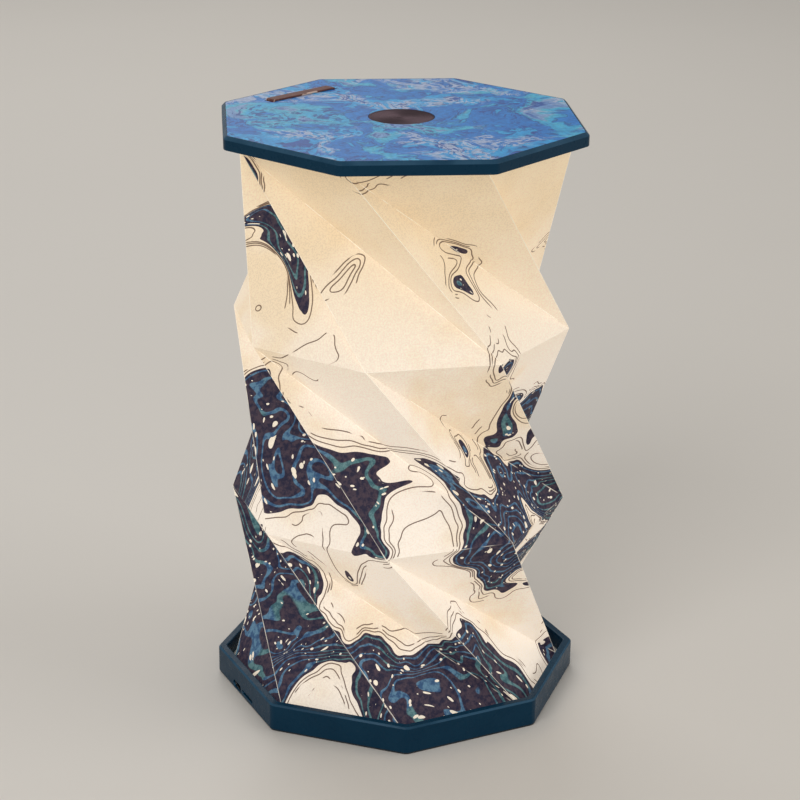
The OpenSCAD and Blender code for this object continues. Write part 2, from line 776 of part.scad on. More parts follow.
// A staple-shaped strip: its outline is drawn from the side and pulled across the strap's width
module carry_strap() {
    bend = [for (a = [0:15:90]) [sin(a), cos(a)] * strap_t];
    top_z = strap_z + strap_t;
    half = strap_l / 2;
    outer = [for (p = bend) [half - strap_t + p[0], top_z - strap_t + p[1]]];
    right = concat(outer, [[half, leg_z], [half - strap_t, leg_z], [half - strap_t, strap_z]]);
    left = [for (i = [len(right) - 1:-1:0]) [-right[i][0], right[i][1]]];
    color("#7d4f40")
    in_lid()
        at_strap()
            translate([-strap_w / 2, 0, 0])
                rotate([90, 0, 90]) linear_extrude(strap_w) polygon(concat(right, left));
}

module strap_anchors() {
    color("#35383c")
    in_lid()
        at_strap()
            for (end = [-1, 1])
                translate([0, end * (strap_l - strap_t) / 2, anchor_z]) block([anchor_w, anchor_l, anchor_t]);
}

tray();
nonslip_pad();
deck();
tray_screws();
tray_magnets();
battery_cell();
main_board();
board_parts();
battery_leads();
light_leads();
inlet_shell();
inlet_tongue();
switch_housing();
switch_knob();
light_board();
leds();
diffuser_cap();
lower_paper_frame();
paper_shade();
upper_paper_frame();
lid_lining();
lid_shell();
top_sheet();
lid_screws();
lid_magnets();
centre_disc();
swivel_washer();
swivel_screw();
carry_strap();
strap_anchors();
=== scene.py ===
import math

import bmesh
import bpy
from mathutils import Matrix, Vector


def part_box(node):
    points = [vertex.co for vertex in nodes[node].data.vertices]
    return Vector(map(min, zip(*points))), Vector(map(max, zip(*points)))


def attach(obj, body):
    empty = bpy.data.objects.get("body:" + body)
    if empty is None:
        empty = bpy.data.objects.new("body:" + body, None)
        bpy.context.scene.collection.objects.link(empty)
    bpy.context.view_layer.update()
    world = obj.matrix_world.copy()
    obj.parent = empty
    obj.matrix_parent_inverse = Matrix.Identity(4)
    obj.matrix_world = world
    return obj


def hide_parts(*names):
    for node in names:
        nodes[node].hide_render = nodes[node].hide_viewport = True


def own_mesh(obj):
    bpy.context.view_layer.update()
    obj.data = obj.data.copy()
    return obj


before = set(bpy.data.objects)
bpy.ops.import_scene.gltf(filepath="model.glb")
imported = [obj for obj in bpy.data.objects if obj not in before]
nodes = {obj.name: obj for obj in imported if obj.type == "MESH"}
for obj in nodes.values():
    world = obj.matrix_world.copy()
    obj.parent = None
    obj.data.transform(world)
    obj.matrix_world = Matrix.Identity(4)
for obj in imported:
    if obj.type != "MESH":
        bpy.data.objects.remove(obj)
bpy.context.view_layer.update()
print("frame loaded")

mm = 0.001
eighth = math.radians(45)
touching = 0.05 * mm                         # places this close count as the same
overcut = 1 * mm                             # how far a cutter reaches past what it cuts
faceOn = 0.9                                 # least share of a normal that looks along an axis

# what several pieces share: the octagon, the shade's tiers and the lid's turn on the open lamp
lamp = {
    "sides": 8,
    "flatRadius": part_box("tray")[1].x,
    "tiers": 3,
    "tierTurn": 52,                          # degrees
}
lidTurn = -math.radians(lamp["tiers"] * lamp["tierTurn"])


def clearSelection():
    bpy.ops.object.select_all(action="DESELECT")


def makeActive(piece):
    clearSelection()
    piece.select_set(True)
    bpy.context.view_layer.objects.active = piece


def startEdit(piece):
    makeActive(piece)
    bpy.ops.object.mode_set(mode="EDIT")


def endEdit():
    bpy.ops.object.mode_set(mode="OBJECT")


def namePrimitive(name):
    # the primitive that was just added, with its place moved into its mesh
    piece = bpy.context.object
    piece.name = name
    piece.data.name = name
    bpy.ops.object.transform_apply(location=True, rotation=True, scale=True)
    return piece


def pickFaces(piece, wanted):
    bpy.ops.mesh.select_mode(type="FACE")
    bpy.ops.mesh.select_all(action="DESELECT")
    mesh = bmesh.from_edit_mesh(piece.data)
    for face in mesh.faces:
        if wanted(face.calc_center_median(), face.normal):
            face.select_set(True)
    bmesh.update_edit_mesh(piece.data)


def pickEdges(piece, wanted):
    # edges that lie inside a flat surface are passed over
    leastAngle = 0.01
    bpy.ops.mesh.select_mode(type="EDGE")
    bpy.ops.mesh.select_all(action="DESELECT")
    mesh = bmesh.from_edit_mesh(piece.data)
    for edge in mesh.edges:
        if edge.calc_face_angle(1) > leastAngle and wanted(edge.verts[0].co, edge.verts[1].co):
            edge.select_set(True)
    bmesh.update_edit_mesh(piece.data)


def pickVertices(piece, wanted):
    bpy.ops.mesh.select_mode(type="VERT")
    bpy.ops.mesh.select_all(action="DESELECT")
    mesh = bmesh.from_edit_mesh(piece.data)
    for vertex in mesh.verts:
        if wanted(vertex.co):
            vertex.select_set(True)
    mesh.select_flush_mode()
    bmesh.update_edit_mesh(piece.data)


def bevelPicked(width, segments):
    bpy.ops.mesh.bevel(offset=width, segments=segments, affect="EDGES", clamp_overlap=False)


def extrudePicked(x, y, z):
    bpy.ops.mesh.extrude_region_move(TRANSFORM_OT_translate={"value": (x, y, z)})


def applyModifier(piece, kind, **settings):
    modifier = piece.modifiers.new(kind.lower(), kind)
    for name, value in settings.items():
        setattr(modifier, name, value)
    makeActive(piece)
    bpy.ops.object.modifier_apply(modifier=modifier.name)


def cutWith(piece, cutter, operation="DIFFERENCE"):
    applyModifier(piece, "BOOLEAN", object=cutter, operation=operation, solver="EXACT")
    bpy.data.objects.remove(cutter)


def finishPiece(piece, smoothAngle=35, weighted=True):
    # cuts can leave points on top of each other, so they are merged first
    sameSpot = 0.001 * mm
    startEdit(piece)
    bpy.ops.mesh.select_all(action="SELECT")
    bpy.ops.mesh.remove_doubles(threshold=sameSpot)
    endEdit()
    bpy.ops.object.shade_smooth_by_angle(angle=math.radians(smoothAngle))
    if weighted:
        applyModifier(piece, "WEIGHTED_NORMAL", weight=50, keep_sharp=True)
    return piece


def near(a, b):
    return abs(a - b) < touching


def isUpright(a, b):
    return near(a.x, b.x) and near(a.y, b.y) and not near(a.z, b.z)


def roundedOctagon(name, flatRadius, turn, lower, upper, cornerRadius, segments=8):
    # octagonal block with its upright edges rounded
    clearSelection()
    bpy.ops.mesh.primitive_circle_add(
        vertices=lamp["sides"], radius=flatRadius / math.cos(eighth / 2), fill_type="NGON",
        location=(0, 0, lower), rotation=(0, 0, turn))
    piece = namePrimitive(name)
    startEdit(piece)
    bpy.ops.mesh.select_all(action="SELECT")
    extrudePicked(0, 0, upper - lower)
    bpy.ops.mesh.select_all(action="SELECT")
    bpy.ops.mesh.normals_make_consistent(inside=False)
    pickEdges(piece, isUpright)
    bevelPicked(cornerRadius * math.tan(eighth / 2), segments)
    endEdit()
    return piece


def insetFrom(place, flatRadius, turn, cornerRadius):
    # how far inside a rounded octagon's outline a point lies
    away = math.hypot(place.x, place.y)
    angle = (math.atan2(place.y, place.x) - turn) % eighth - eighth / 2
    core = flatRadius - cornerRadius
    outward = away * math.cos(angle) - core
    sideways = max(0, away * abs(math.sin(angle)) - core * math.tan(eighth / 2))
    return cornerRadius - math.hypot(outward, sideways)


def pickLevelEdges(piece, z, beyond=0, within=math.inf):
    # the level edges at height z, between two distances from the axis
    pickEdges(piece, lambda a, b: all(
        near(p.z, z) and beyond < math.hypot(p.x, p.y) < within for p in (a, b)))


def bevelRim(piece, upper, outline, width, softening):
    # wide flat bevel round the outer edge; the two lines that it leaves are softened in their turn
    def pickOutline(z, inset):
        pickEdges(piece, lambda a, b: all(
            near(p.z, z) and near(insetFrom(p, *outline), inset) for p in (a, b)))
    pickOutline(upper, 0)
    bevelPicked(width, 1)
    pickOutline(upper, width)
    bevelPicked(softening / 2, 2)
    pickOutline(upper - width, 0)
    bevelPicked(softening, 2)


def roundBar(name, size, centre):
    # bar along X with a flat oval section
    flatLeft = 0.02 * mm                     # so that the roundings don't meet
    clearSelection()
    bpy.ops.mesh.primitive_cube_add(size=1, location=centre, scale=size)
    piece = namePrimitive(name)
    startEdit(piece)
    pickEdges(piece, lambda a, b: near(a.y, b.y) and near(a.z, b.z))
    bevelPicked(size[2] / 2 - flatLeft, 8)
    return piece


def roundBlock(name, diameter, lower, upper):
    clearSelection()
    bpy.ops.mesh.primitive_cylinder_add(
        vertices=96, radius=diameter / 2, depth=upper - lower,
        location=(0, 0, (lower + upper) / 2))
    return namePrimitive(name)


def srgb(red, green, blue):
    # 0 to 255 as on a colour chart, turned into the shader's own scale
    def linear(value):
        value /= 255
        return value / 12.92 if value <= 0.04045 else ((value + 0.055) / 1.055) ** 2.4
    return (linear(red), linear(green), linear(blue), 1)


def dimmed(colour, share):
    return tuple(part * share for part in colour[:3]) + (1,)


def newMaterial(name, **sockets):
    material = bpy.data.materials.new(name)
    material.use_nodes = True
    shader = material.node_tree.nodes["Principled BSDF"]
    for socket, value in sockets.items():
        shader.inputs[socket.replace("_", " ")].default_value = value
    material.diffuse_color = shader.inputs["Base Color"].default_value
    return material, material.node_tree, shader


def addNode(tree, kind, inputs=None, **settings):
    made = tree.nodes.new(kind)
    for name, value in settings.items():
        setattr(made, name, value)
    for name, value in (inputs or {}).items():
        if isinstance(value, bpy.types.NodeSocket):
            tree.links.new(value, made.inputs[name])
        else:
            made.inputs[name].default_value = value
    return made


def maths(tree, operation, a, b=0.0):
    return addNode(tree, "ShaderNodeMath", {0: a, 1: b}, operation=operation).outputs[0]


def vectorMaths(tree, operation, a, b=(0, 0, 0), scale=None):
    made = addNode(tree, "ShaderNodeVectorMath", {0: a, 1: b}, operation=operation)
    if scale is not None:
        made.inputs["Scale"].default_value = scale
    return made.outputs[0]


def spread(tree, value, low, high, toLow=0.0, toHigh=1.0):
    # maps low..high smoothly onto toLow..toHigh
    made = addNode(tree, "ShaderNodeMapRange", {
        "Value": value, "From Min": low, "From Max": high, "To Min": toLow, "To Max": toHigh},
        interpolation_type="SMOOTHSTEP")
    return made.outputs["Result"]


def noise(tree, place, scale, detail=2.0, roughness=0.5, output="Fac"):
    return addNode(tree, "ShaderNodeTexNoise", {
        "Vector": place, "Scale": scale, "Detail": detail, "Roughness": roughness}).outputs[output]


def warped(tree, place, scale, reach, detail=2.0):
    # moves the points about, as ink drifts on water
    cloud = noise(tree, place, scale, detail, output="Color")
    push = vectorMaths(tree, "SUBTRACT", cloud, (0.5, 0.5, 0.5))
    return vectorMaths(tree, "ADD", place, vectorMaths(tree, "SCALE", push, scale=reach))


def mixColour(tree, factor, a, b, blend="MIX"):
    return addNode(tree, "ShaderNodeMix", {0: factor, 6: a, 7: b},
                   data_type="RGBA", blend_type=blend).outputs[2]


def timesColour(tree, a, b):
    return mixColour(tree, 1.0, a, b, "MULTIPLY")


def bumpFrom(tree, shader, height, strength, distance):
    bump = addNode(tree, "ShaderNodeBump", {
        "Height": height, "Strength": strength, "Distance": distance})
    tree.links.new(bump.outputs["Normal"], shader.inputs["Normal"])


def objectPlace(tree):
    return addNode(tree, "ShaderNodeTexCoord").outputs["Object"]


def paint(name, material):
    nodes[name].data.materials.clear()
    nodes[name].data.materials.append(material)


def dress(piece, material, body, slotName, *replaced):
    piece.data.materials.clear()
    piece.data.materials.append(material)
    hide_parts(*replaced)
    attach(piece, body)


view = {
    "lens": 99.8,                            # millimetres, as is the sensor's width
    "sensor": 36,
    "place": (-0.4284, -0.8747, 0.5055),
    "heading": -26.139,                      # degrees round Z from +Y
    "tiltDown": 20.563,
    "roll": 0.642,
}


def addCamera():
    data = bpy.data.cameras.new("viewCamera")
    data.lens = view["lens"]
    data.sensor_width = view["sensor"]
    camera = bpy.data.objects.new("viewCamera", data)
    bpy.context.scene.collection.objects.link(camera)
    heading = Matrix.Rotation(math.radians(view["heading"]), 4, "Z")
    tilt = Matrix.Rotation(math.radians(90 - view["tiltDown"]), 4, "X")
    roll = Matrix.Rotation(math.radians(view["roll"]), 4, "Z")
    camera.matrix_world = Matrix.Translation(view["place"]) @ heading @ tilt @ roll
    bpy.context.scene.camera = camera


studio = {
    "worldColour": srgb(236, 234, 230),
    "worldStrength": 0.5,
    "lights": [  # name, place, width in metres, power in watts
        ("keyLight", (-1.5, -1.1, 1.7), 1.2, 20),
        ("fillLight", (1.6, -1.2, 1.1), 1.4, 11),
        ("backLight", (0.3, 1.7, 1.5), 1.2, 10),
    ],
    "aim": (0, 0, 0.14),                     # what all lights point at
    "floorColour": srgb(214, 209, 202),
    "floorWidth": 9,
}


def addLights():
    world = bpy.data.worlds.new("studioWorld")
    world.use_nodes = True
    background = world.node_tree.nodes["Background"]
    background.inputs["Color"].default_value = studio["worldColour"]
    background.inputs["Strength"].default_value = studio["worldStrength"]
    bpy.context.scene.world = world
    for name, place, width, power in studio["lights"]:
        data = bpy.data.lights.new(name, "AREA")
        data.size = width
        data.energy = power
        light = bpy.data.objects.new(name, data)
        light.location = place
        bpy.context.scene.collection.objects.link(light)
        aim = Vector(studio["aim"]) - light.location
        light.rotation_euler = aim.to_track_quat("-Z", "Y").to_euler()


def floorFinish():
    material, tree, shader = newMaterial("floorFinish", Roughness=0.55)
    cloud = noise(tree, objectPlace(tree), 3.0, 3.0)
    pale = studio["floorColour"]
    tint = mixColour(tree, cloud, pale, dimmed(pale, 0.97))
    tree.links.new(tint, shader.inputs["Base Color"])
    return material


def addFloor():
    clearSelection()
    bpy.ops.mesh.primitive_plane_add(size=studio["floorWidth"])
    floor = namePrimitive("floor")
    floor.data.materials.append(floorFinish())


bpy.context.scene.view_settings.view_transform = "Standard"
addCamera()
addLights()
addFloor()
print("camera, lights and floor ready")


navyPlastic = {
    "deep": srgb(7, 44, 66),
    "fair": srgb(13, 54, 77),
    "paintedEdgeHighlight": srgb(48, 82, 106),           # painted highlight on the rounded upper edges
    "specular": 0.09,
}


def navyFinish():
    # satin moulded plastic, dark teal navy
    material, tree, shader = newMaterial("navyFinish", Specular_IOR_Level=navyPlastic["specular"])
    place = objectPlace(tree)
    cloud = noise(tree, place, 60, 3.0)
    tint = mixColour(tree, cloud, navyPlastic["deep"], navyPlastic["fair"])
    # painted highlight: the rounded upper edges are made paler in patches, where their rounding
    # would catch the light
    facing = addNode(tree, "ShaderNodeTexCoord").outputs["Normal"]
    steepness = addNode(tree, "ShaderNodeSeparateXYZ", {0: facing}).outputs["Z"]
    edge = maths(
        tree, "MULTIPLY", spread(tree, steepness, 0.1, 0.3), spread(tree, steepness, 0.96, 0.8))
    highlightPatches = spread(tree, noise(tree, place, 45, 3.0), 0.35, 0.6, 0.35, 0.9)
    highlightMask = maths(tree, "MULTIPLY", edge, highlightPatches)
    paintedEdgeHighlight = mixColour(tree, highlightMask, tint, navyPlastic["paintedEdgeHighlight"])
    tree.links.new(paintedEdgeHighlight, shader.inputs["Base Color"])
    grain = noise(tree, place, 2600, 2.0)
    bumpFrom(tree, shader, grain, 0.08, 0.05 * mm)
    roughness = spread(tree, noise(tree, place, 240, 2.0), 0.3, 0.7, 0.25, 0.34)
    tree.links.new(roughness, shader.inputs["Roughness"])
    return material


def plasticFinish(name, colour, roughness=0.45):
    material, tree, shader = newMaterial(name, Roughness=roughness)
    place = objectPlace(tree)
    cloud = noise(tree, place, 90, 3.0)
    tint = mixColour(tree, cloud, dimmed(colour, 0.9), colour)
    tree.links.new(tint, shader.inputs["Base Color"])
    bumpFrom(tree, shader, noise(tree, place, 1800, 2.0), 0.12, 0.05 * mm)
    return material


def metalFinish(name, colour, roughness=0.3):
    material, tree, shader = newMaterial(name, Metallic=1.0)
    place = objectPlace(tree)
    cloud = noise(tree, place, 300, 3.0)
    tint = mixColour(tree, cloud, dimmed(colour, 0.8), colour)
    tree.links.new(tint, shader.inputs["Base Color"])
    streaks = noise(tree, vectorMaths(tree, "MULTIPLY", place, (1, 1, 6)), 900, 2.0)
    uneven = spread(tree, streaks, 0.3, 0.7, roughness * 0.8, roughness * 1.25)
    tree.links.new(uneven, shader.inputs["Roughness"])
    return material


def rubberFinish():
    material, tree, shader = newMaterial("rubberFinish", Roughness=0.8)
    place = objectPlace(tree)
    cloud = noise(tree, place, 70, 3.0)
    tint = mixColour(tree, cloud, srgb(30, 33, 37), srgb(43, 46, 50))
    tree.links.new(tint, shader.inputs["Base Color"])
    cells = addNode(tree, "ShaderNodeTexVoronoi", {"Vector": place, "Scale": 700})
    bumpFrom(tree, shader, cells.outputs["Distance"], 0.5, 0.15 * mm)
    return material


def glowFinish(name, colour, strength):
    material, tree, shader = newMaterial(name, Roughness=0.4, Emission_Strength=strength)
    cloud = noise(tree, objectPlace(tree), 120, 2.0)
    tint = mixColour(tree, cloud, dimmed(colour, 0.94), colour)
    tree.links.new(tint, shader.inputs["Base Color"])
    tree.links.new(tint, shader.inputs["Emission Color"])
    return material


def boardFinish():
    material, tree, shader = newMaterial("boardFinish", Roughness=0.35)
    place = objectPlace(tree)
    tracks = addNode(tree, "ShaderNodeTexBrick", {
        "Vector": place, "Scale": 220, "Mortar Size": 0.03,
        "Color1": srgb(24, 84, 54), "Color2": srgb(28, 94, 60), "Mortar": srgb(46, 120, 78)})
    tree.links.new(tracks.outputs["Color"], shader.inputs["Base Color"])
    bumpFrom(tree, shader, tracks.outputs["Fac"], 0.3, 0.03 * mm)
    return material


def cardFinish():
    material, tree, shader = newMaterial("cardFinish", Roughness=0.85)
    place = objectPlace(tree)
    fibres = noise(tree, place, 900, 4.0, 0.7)
    tint = mixColour(tree, fibres, srgb(206, 190, 156), srgb(228, 214, 184))
    tree.links.new(tint, shader.inputs["Base Color"])
    bumpFrom(tree, shader, fibres, 0.3, 0.05 * mm)
    return material


navy = navyFinish()
screwSteel = metalFinish("screwSteel", srgb(186, 189, 193))
magnetNickel = metalFinish("magnetNickel", srgb(150, 153, 158), 0.2)
whitePlastic = plasticFinish("whitePlastic", srgb(232, 232, 227))
blackPlastic = plasticFinish("blackPlastic", srgb(38, 40, 43))
card = cardFinish()

plainFinishes = {
    "nonslip_pad": rubberFinish(),
    "deck": whitePlastic,
    "lid_lining": whitePlastic,
    "tray_screws": screwSteel,
    "lid_screws": screwSteel,
    "swivel_washer": screwSteel,
    "swivel_screw": screwSteel,
    "tray_magnets": magnetNickel,
    "lid_magnets": magnetNickel,
    "battery_cell": metalFinish("batteryFoil", srgb(196, 200, 204), 0.45),
    "main_board": boardFinish(),
    "board_parts": blackPlastic,
    "inlet_tongue": blackPlastic,
    "strap_anchors": blackPlastic,
    "switch_knob": plasticFinish("knobBlack", srgb(26, 28, 31), 0.5),
    "battery_leads": plasticFinish("leadRed", srgb(182, 52, 46), 0.5),
    "light_leads": plasticFinish("leadWhite", srgb(228, 224, 214), 0.5),
    "inlet_shell": metalFinish("inletSteel", srgb(198, 201, 205), 0.25),
    "switch_housing": metalFinish("housingSteel", srgb(168, 172, 176), 0.35),
    "light_board": glowFinish("lightBoardWhite", srgb(244, 244, 240), 0.3),
    "leds": glowFinish("ledPhosphor", srgb(255, 226, 150), 2.0),
    "diffuser_cap": glowFinish("diffuserMilk", srgb(251, 244, 228), 0.6),
    "lower_paper_frame": card,
    "upper_paper_frame": card,
}
for nodeName, finish in plainFinishes.items():
    paint(nodeName, finish)
print("plain finishes ready")


tray = {
    "wall": 3.9 * mm,
    "floor": 1.2 * mm,
    "cornerRadius": 4.5 * mm,
    "innerCornerRadius": 2 * mm,
    "rimBevel": 0.8 * mm,
    "bevelSoftening": 0.2 * mm,
    "innerRound": 0.5 * mm,
    "footRound": 0.4 * mm,
    "mouthFlare": 0.15 * mm,     # how much wider the openings get at the outer face
    "inletHeight": 3.2 * mm,
    "inletGap": 0.15 * mm,
    "slotHeight": 1.7 * mm,
    "knobTravel": 6 * mm,
    "knobGap": 0.2 * mm,
}


def openingCutter(name, span, middle, height, gap):
    # oval bar through the tray's wall, flared at its mouth
    width = span[1] - span[0] + 2 * gap
    outer = -lamp["flatRadius"]
    across = (span[0] + span[1]) / 2
    length = tray["wall"] + 2 * overcut
    piece = roundBar(name, (length, width, height), (outer + length / 2, across, middle))
    flare = tray["mouthFlare"]
    pickFaces(piece, lambda c, n: n.x < -faceOn)
    bpy.ops.transform.translate(value=(flare, 0, 0))
    extrudePicked(-flare, 0, 0)
    grow = (1, 1 + 2 * flare / width, 1 + 2 * flare / height)
    bpy.ops.transform.resize(value=grow, center_override=(outer, across, middle))
    extrudePicked(-overcut, 0, 0)
    endEdit()
    return piece


def makeTray():
    lower, upper = (corner.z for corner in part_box("tray"))
    flatRadius = lamp["flatRadius"]
    turn = eighth / 2
    piece = roundedOctagon("trayShell", flatRadius, turn, lower, upper, tray["cornerRadius"])
    cutWith(piece, roundedOctagon(
        "trayHollow", flatRadius - tray["wall"], turn, lower + tray["floor"], upper + overcut,
        tray["innerCornerRadius"], 6))
    startEdit(piece)
    pickLevelEdges(piece, upper, within=flatRadius / math.cos(eighth / 2) - tray["wall"])
    bevelPicked(tray["innerRound"], 3)
    outline = (flatRadius, turn, tray["cornerRadius"])
    bevelRim(piece, upper, outline, tray["rimBevel"], tray["bevelSoftening"])
    pickLevelEdges(piece, lower)
    bevelPicked(tray["footRound"], 3)
    endEdit()
    return piece


print("modelling the tray")
trayShell = makeTray()
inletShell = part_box("inlet_shell")
inletMiddle = inletShell[0].z + tray["inletHeight"] / 2
knobLow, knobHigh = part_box("switch_knob")
cutWith(trayShell, openingCutter(
    "inletCutter", (inletShell[0].y, inletShell[1].y), inletMiddle,
    tray["inletHeight"] + 2 * tray["inletGap"], tray["inletGap"]))
cutWith(trayShell, openingCutter(
    "slotCutter", (knobLow.y, knobHigh.y + tray["knobTravel"]), (knobLow.z + knobHigh.z) / 2,
    tray["slotHeight"], tray["knobGap"]))
finishPiece(trayShell)
dress(trayShell, navy, "base", "navy_plastic", "tray")


lid = {
    "wall": 4 * mm,
    "skin": 1.2 * mm,
    "cornerRadius": 4.5 * mm,
    "innerCornerRadius": 2 * mm,
    "bevel": 1.5 * mm,
    "bevelSoftening": 0.22 * mm,
    "sheetLip": 0.2 * mm,
    "footRound": 0.4 * mm,
    "hubRadius": 17 * mm,
    "stemHole": 24.16 * mm,
    "washerGap": 0.1 * mm,
    "discGap": 0.1 * mm,
}


def discCutter(name, lower, upper):
    # a little wider than the disc that goes into its hole
    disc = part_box("centre_disc")
    return roundBlock(name, disc[1].x - disc[0].x + 2 * lid["discGap"], lower, upper)


def makeLid():
    lower, upper = (corner.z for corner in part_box("lid_shell"))
    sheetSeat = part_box("top_sheet")[0].z
    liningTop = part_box("lid_lining")[1].z
    flatRadius = lamp["flatRadius"]
    turn = eighth / 2 + lidTurn
    sheetInset = lid["bevel"] + lid["sheetLip"]
    piece = roundedOctagon("lidShell", flatRadius, turn, lower, upper, lid["cornerRadius"])
    cutWith(piece, roundedOctagon(
        "sheetRecess", flatRadius - sheetInset, turn, sheetSeat, upper + overcut,
        lid["cornerRadius"] - sheetInset))
    cutWith(piece, roundedOctagon(
        "lidHollow", flatRadius - lid["wall"], turn, lower - overcut, sheetSeat - lid["skin"],
        lid["innerCornerRadius"], 6))
    startEdit(piece)
    outline = (flatRadius, turn, lid["cornerRadius"])
    bevelRim(piece, upper, outline, lid["bevel"], lid["bevelSoftening"])
    pickLevelEdges(piece, lower)
    bevelPicked(lid["footRound"], 2)
    endEdit()
    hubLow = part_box("swivel_washer")[1].z + lid["washerGap"]
    cutWith(piece, roundBlock("hub", 2 * lid["hubRadius"], hubLow, sheetSeat), "UNION")
    cutWith(piece, roundBlock("stemHole", lid["stemHole"], liningTop, upper))
    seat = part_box("centre_disc")[1].z - centreDisc["rimHeight"] - lid["discGap"]
    cutWith(piece, discCutter("discSeat", seat, upper + overcut))
    return piece


topSheet = {
    "gap": 0.1 * mm,
    "edgeRound": 0.15 * mm,
    "roundedBand": 8 * mm,       # only edges this close to the lid's edge are rounded
}


def strapSlot(end):
    # cutter for one of the two slots that the strap goes down through
    length = strap["thickness"] + strap["slotGap"] + strap["slotEnd"]
    clearSelection()
    bpy.ops.mesh.primitive_cube_add(
        size=1, location=(0, end * (strap["length"] / 2 + strap["slotEnd"] - length / 2), 0),
        scale=(strap["width"] + 2 * strap["slotGap"], length, strap["slotDepth"]))
    piece = namePrimitive("strapSlot")
    startEdit(piece)
    pickEdges(piece, isUpright)
    bevelPicked(strap["slotCorner"], 4)
    endEdit()
    piece.data.transform(strapPlace(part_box("top_sheet")[0].z))
    return piece


def makeTopSheet():
    lower, upper = (corner.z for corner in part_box("top_sheet"))
    inset = lid["bevel"] + lid["sheetLip"] + topSheet["gap"]
    flatRadius = lamp["flatRadius"] - inset
    piece = roundedOctagon(
        "marbledSheet", flatRadius, eighth / 2 + lidTurn, lower, upper,
        lid["cornerRadius"] - inset)
    cutWith(piece, discCutter("sheetHole", lower - overcut, upper + overcut))
    for end in (-1, 1):
        cutWith(piece, strapSlot(end))
    startEdit(piece)
    pickLevelEdges(piece, upper, beyond=lamp["flatRadius"] - topSheet["roundedBand"])
    bevelPicked(topSheet["edgeRound"], 2)
    endEdit()
    return piece


centreDisc = {
    "rimHeight": 1.1 * mm,
    "stemRadius": 12 * mm,
    "edgeRound": 0.25 * mm,
    "rimWidth": 0.9 * mm,
    "dish": 0.12 * mm,
    "grooves": 9,
    "grooveShare": 0.2,          # of the way from one groove to the next
    "grooveDepth": 0.035 * mm,
    "dark": srgb(94, 82, 84),
    "fair": srgb(115, 101, 105),
    "brushed": srgb(75, 65, 68),
    "glancing": (0.45, 0.42, 0.44, 1),       # tint of what it mirrors at a low angle
}


def makeCentreDisc():
    # turned disc with a raised rim and fine grooves, on its stem
    low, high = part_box("centre_disc")
    rimLow = high.z - centreDisc["rimHeight"]
    radius = high.x
    piece = roundBlock("bronzeDisc", 2 * radius, rimLow, high.z)
    startEdit(piece)
    pickFaces(piece, lambda c, n: n.z < -faceOn)
    bpy.ops.mesh.inset(thickness=radius - centreDisc["stemRadius"], depth=0)
    extrudePicked(0, 0, low.z - rimLow)
    pickFaces(piece, lambda c, n: n.z > faceOn)
    bpy.ops.mesh.inset(thickness=centreDisc["rimWidth"], depth=0)
    bpy.ops.mesh.inset(thickness=centreDisc["dish"], depth=-centreDisc["dish"])
    pitch = (radius - centreDisc["rimWidth"] - centreDisc["dish"]) / (centreDisc["grooves"] + 1)
    slope = pitch * centreDisc["grooveShare"] / 2
    for groove in range(centreDisc["grooves"]):
        bpy.ops.mesh.inset(thickness=pitch - 2 * slope, depth=0)
        bpy.ops.mesh.inset(thickness=slope, depth=-centreDisc["grooveDepth"])
        bpy.ops.mesh.inset(thickness=slope, depth=centreDisc["grooveDepth"])
    pickLevelEdges(piece, high.z, beyond=radius - touching)
    bevelPicked(centreDisc["edgeRound"], 3)
    endEdit()
    return piece


strap = {
    "length": 39 * mm,
    "width": 5.5 * mm,
    "thickness": 0.9 * mm,
    "lidInset": 17 * mm,         # from the lid's edge to the strap's middle
    "shift": -2.3 * mm,          # along that edge
    "skew": -4,                  # degrees
    "side": 6,                   # which side of the lid it lies at, counted round from +X
    "slotEnd": 1.2 * mm,         # free length of the slot at the strap's end
    "slotGap": 0.3 * mm,
    "slotCorner": 0.6 * mm,
    "slotDepth": 20 * mm,        # of the cutter, well through the lid
    "endBend": 0.8 * mm,
    "edgeRound": 0.25 * mm,
    "dark": srgb(84, 46, 42),
    "fair": srgb(116, 72, 62),
    "worn": srgb(150, 112, 98),
    # painted highlight with some wear: the pale colour along the strap's long edges
    "wearAndHighlight": srgb(214, 186, 168),
    "paleRim": 0.6 * mm,       # how far in from its long edges the painted highlight with wear reaches, and where it is palest
    "paleCore": 0.1 * mm,
}


def strapPlace(z):
    side = Matrix.Rotation(lidTurn + strap["side"] * eighth, 4, "Z")
    shift = Matrix.Translation((lamp["flatRadius"] - strap["lidInset"], strap["shift"], z))
    return side @ shift @ Matrix.Rotation(math.radians(strap["skew"]), 4, "Z")


def makeStrap():
    # leather strip along Y, its ends bent down through the lid
    low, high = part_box("carry_strap")
    thickness = strap["thickness"]
    half = strap["length"] / 2
    clearSelection()
    bpy.ops.mesh.primitive_cube_add(
        size=1, scale=(strap["width"], strap["length"], thickness),
        location=(0, 0, -thickness / 2))
    piece = namePrimitive("leatherStrap")
    startEdit(piece)
    for end in (-1, 1):
        bpy.ops.mesh.select_all(action="SELECT")
        bpy.ops.mesh.bisect(plane_co=(0, end * (half - thickness), 0), plane_no=(0, 1, 0))
    pickFaces(piece, lambda c, n: n.z < -faceOn and abs(c.y) > half - thickness)
    extrudePicked(0, 0, low.z - high.z + thickness)

    def endCorner(a, b):
        return all(near(p.z, 0) and near(abs(p.y), half) for p in (a, b)) and near(a.y, b.y)
    pickEdges(piece, endCorner)
    bevelPicked(strap["endBend"], 6)
    pickFaces(piece, lambda c, n: near(abs(c.x), strap["width"] / 2) and abs(n.x) > faceOn)
    bpy.ops.mesh.region_to_loop()
    bevelPicked(strap["edgeRound"], 3)
    endEdit()
    piece.data.transform(strapPlace(high.z))
    return piece


print("modelling the lid")
lidShell = makeLid()
for end in (-1, 1):
    cutWith(lidShell, strapSlot(end))
finishPiece(lidShell)
dress(lidShell, navy, "lid", "navy_plastic", "lid_shell")


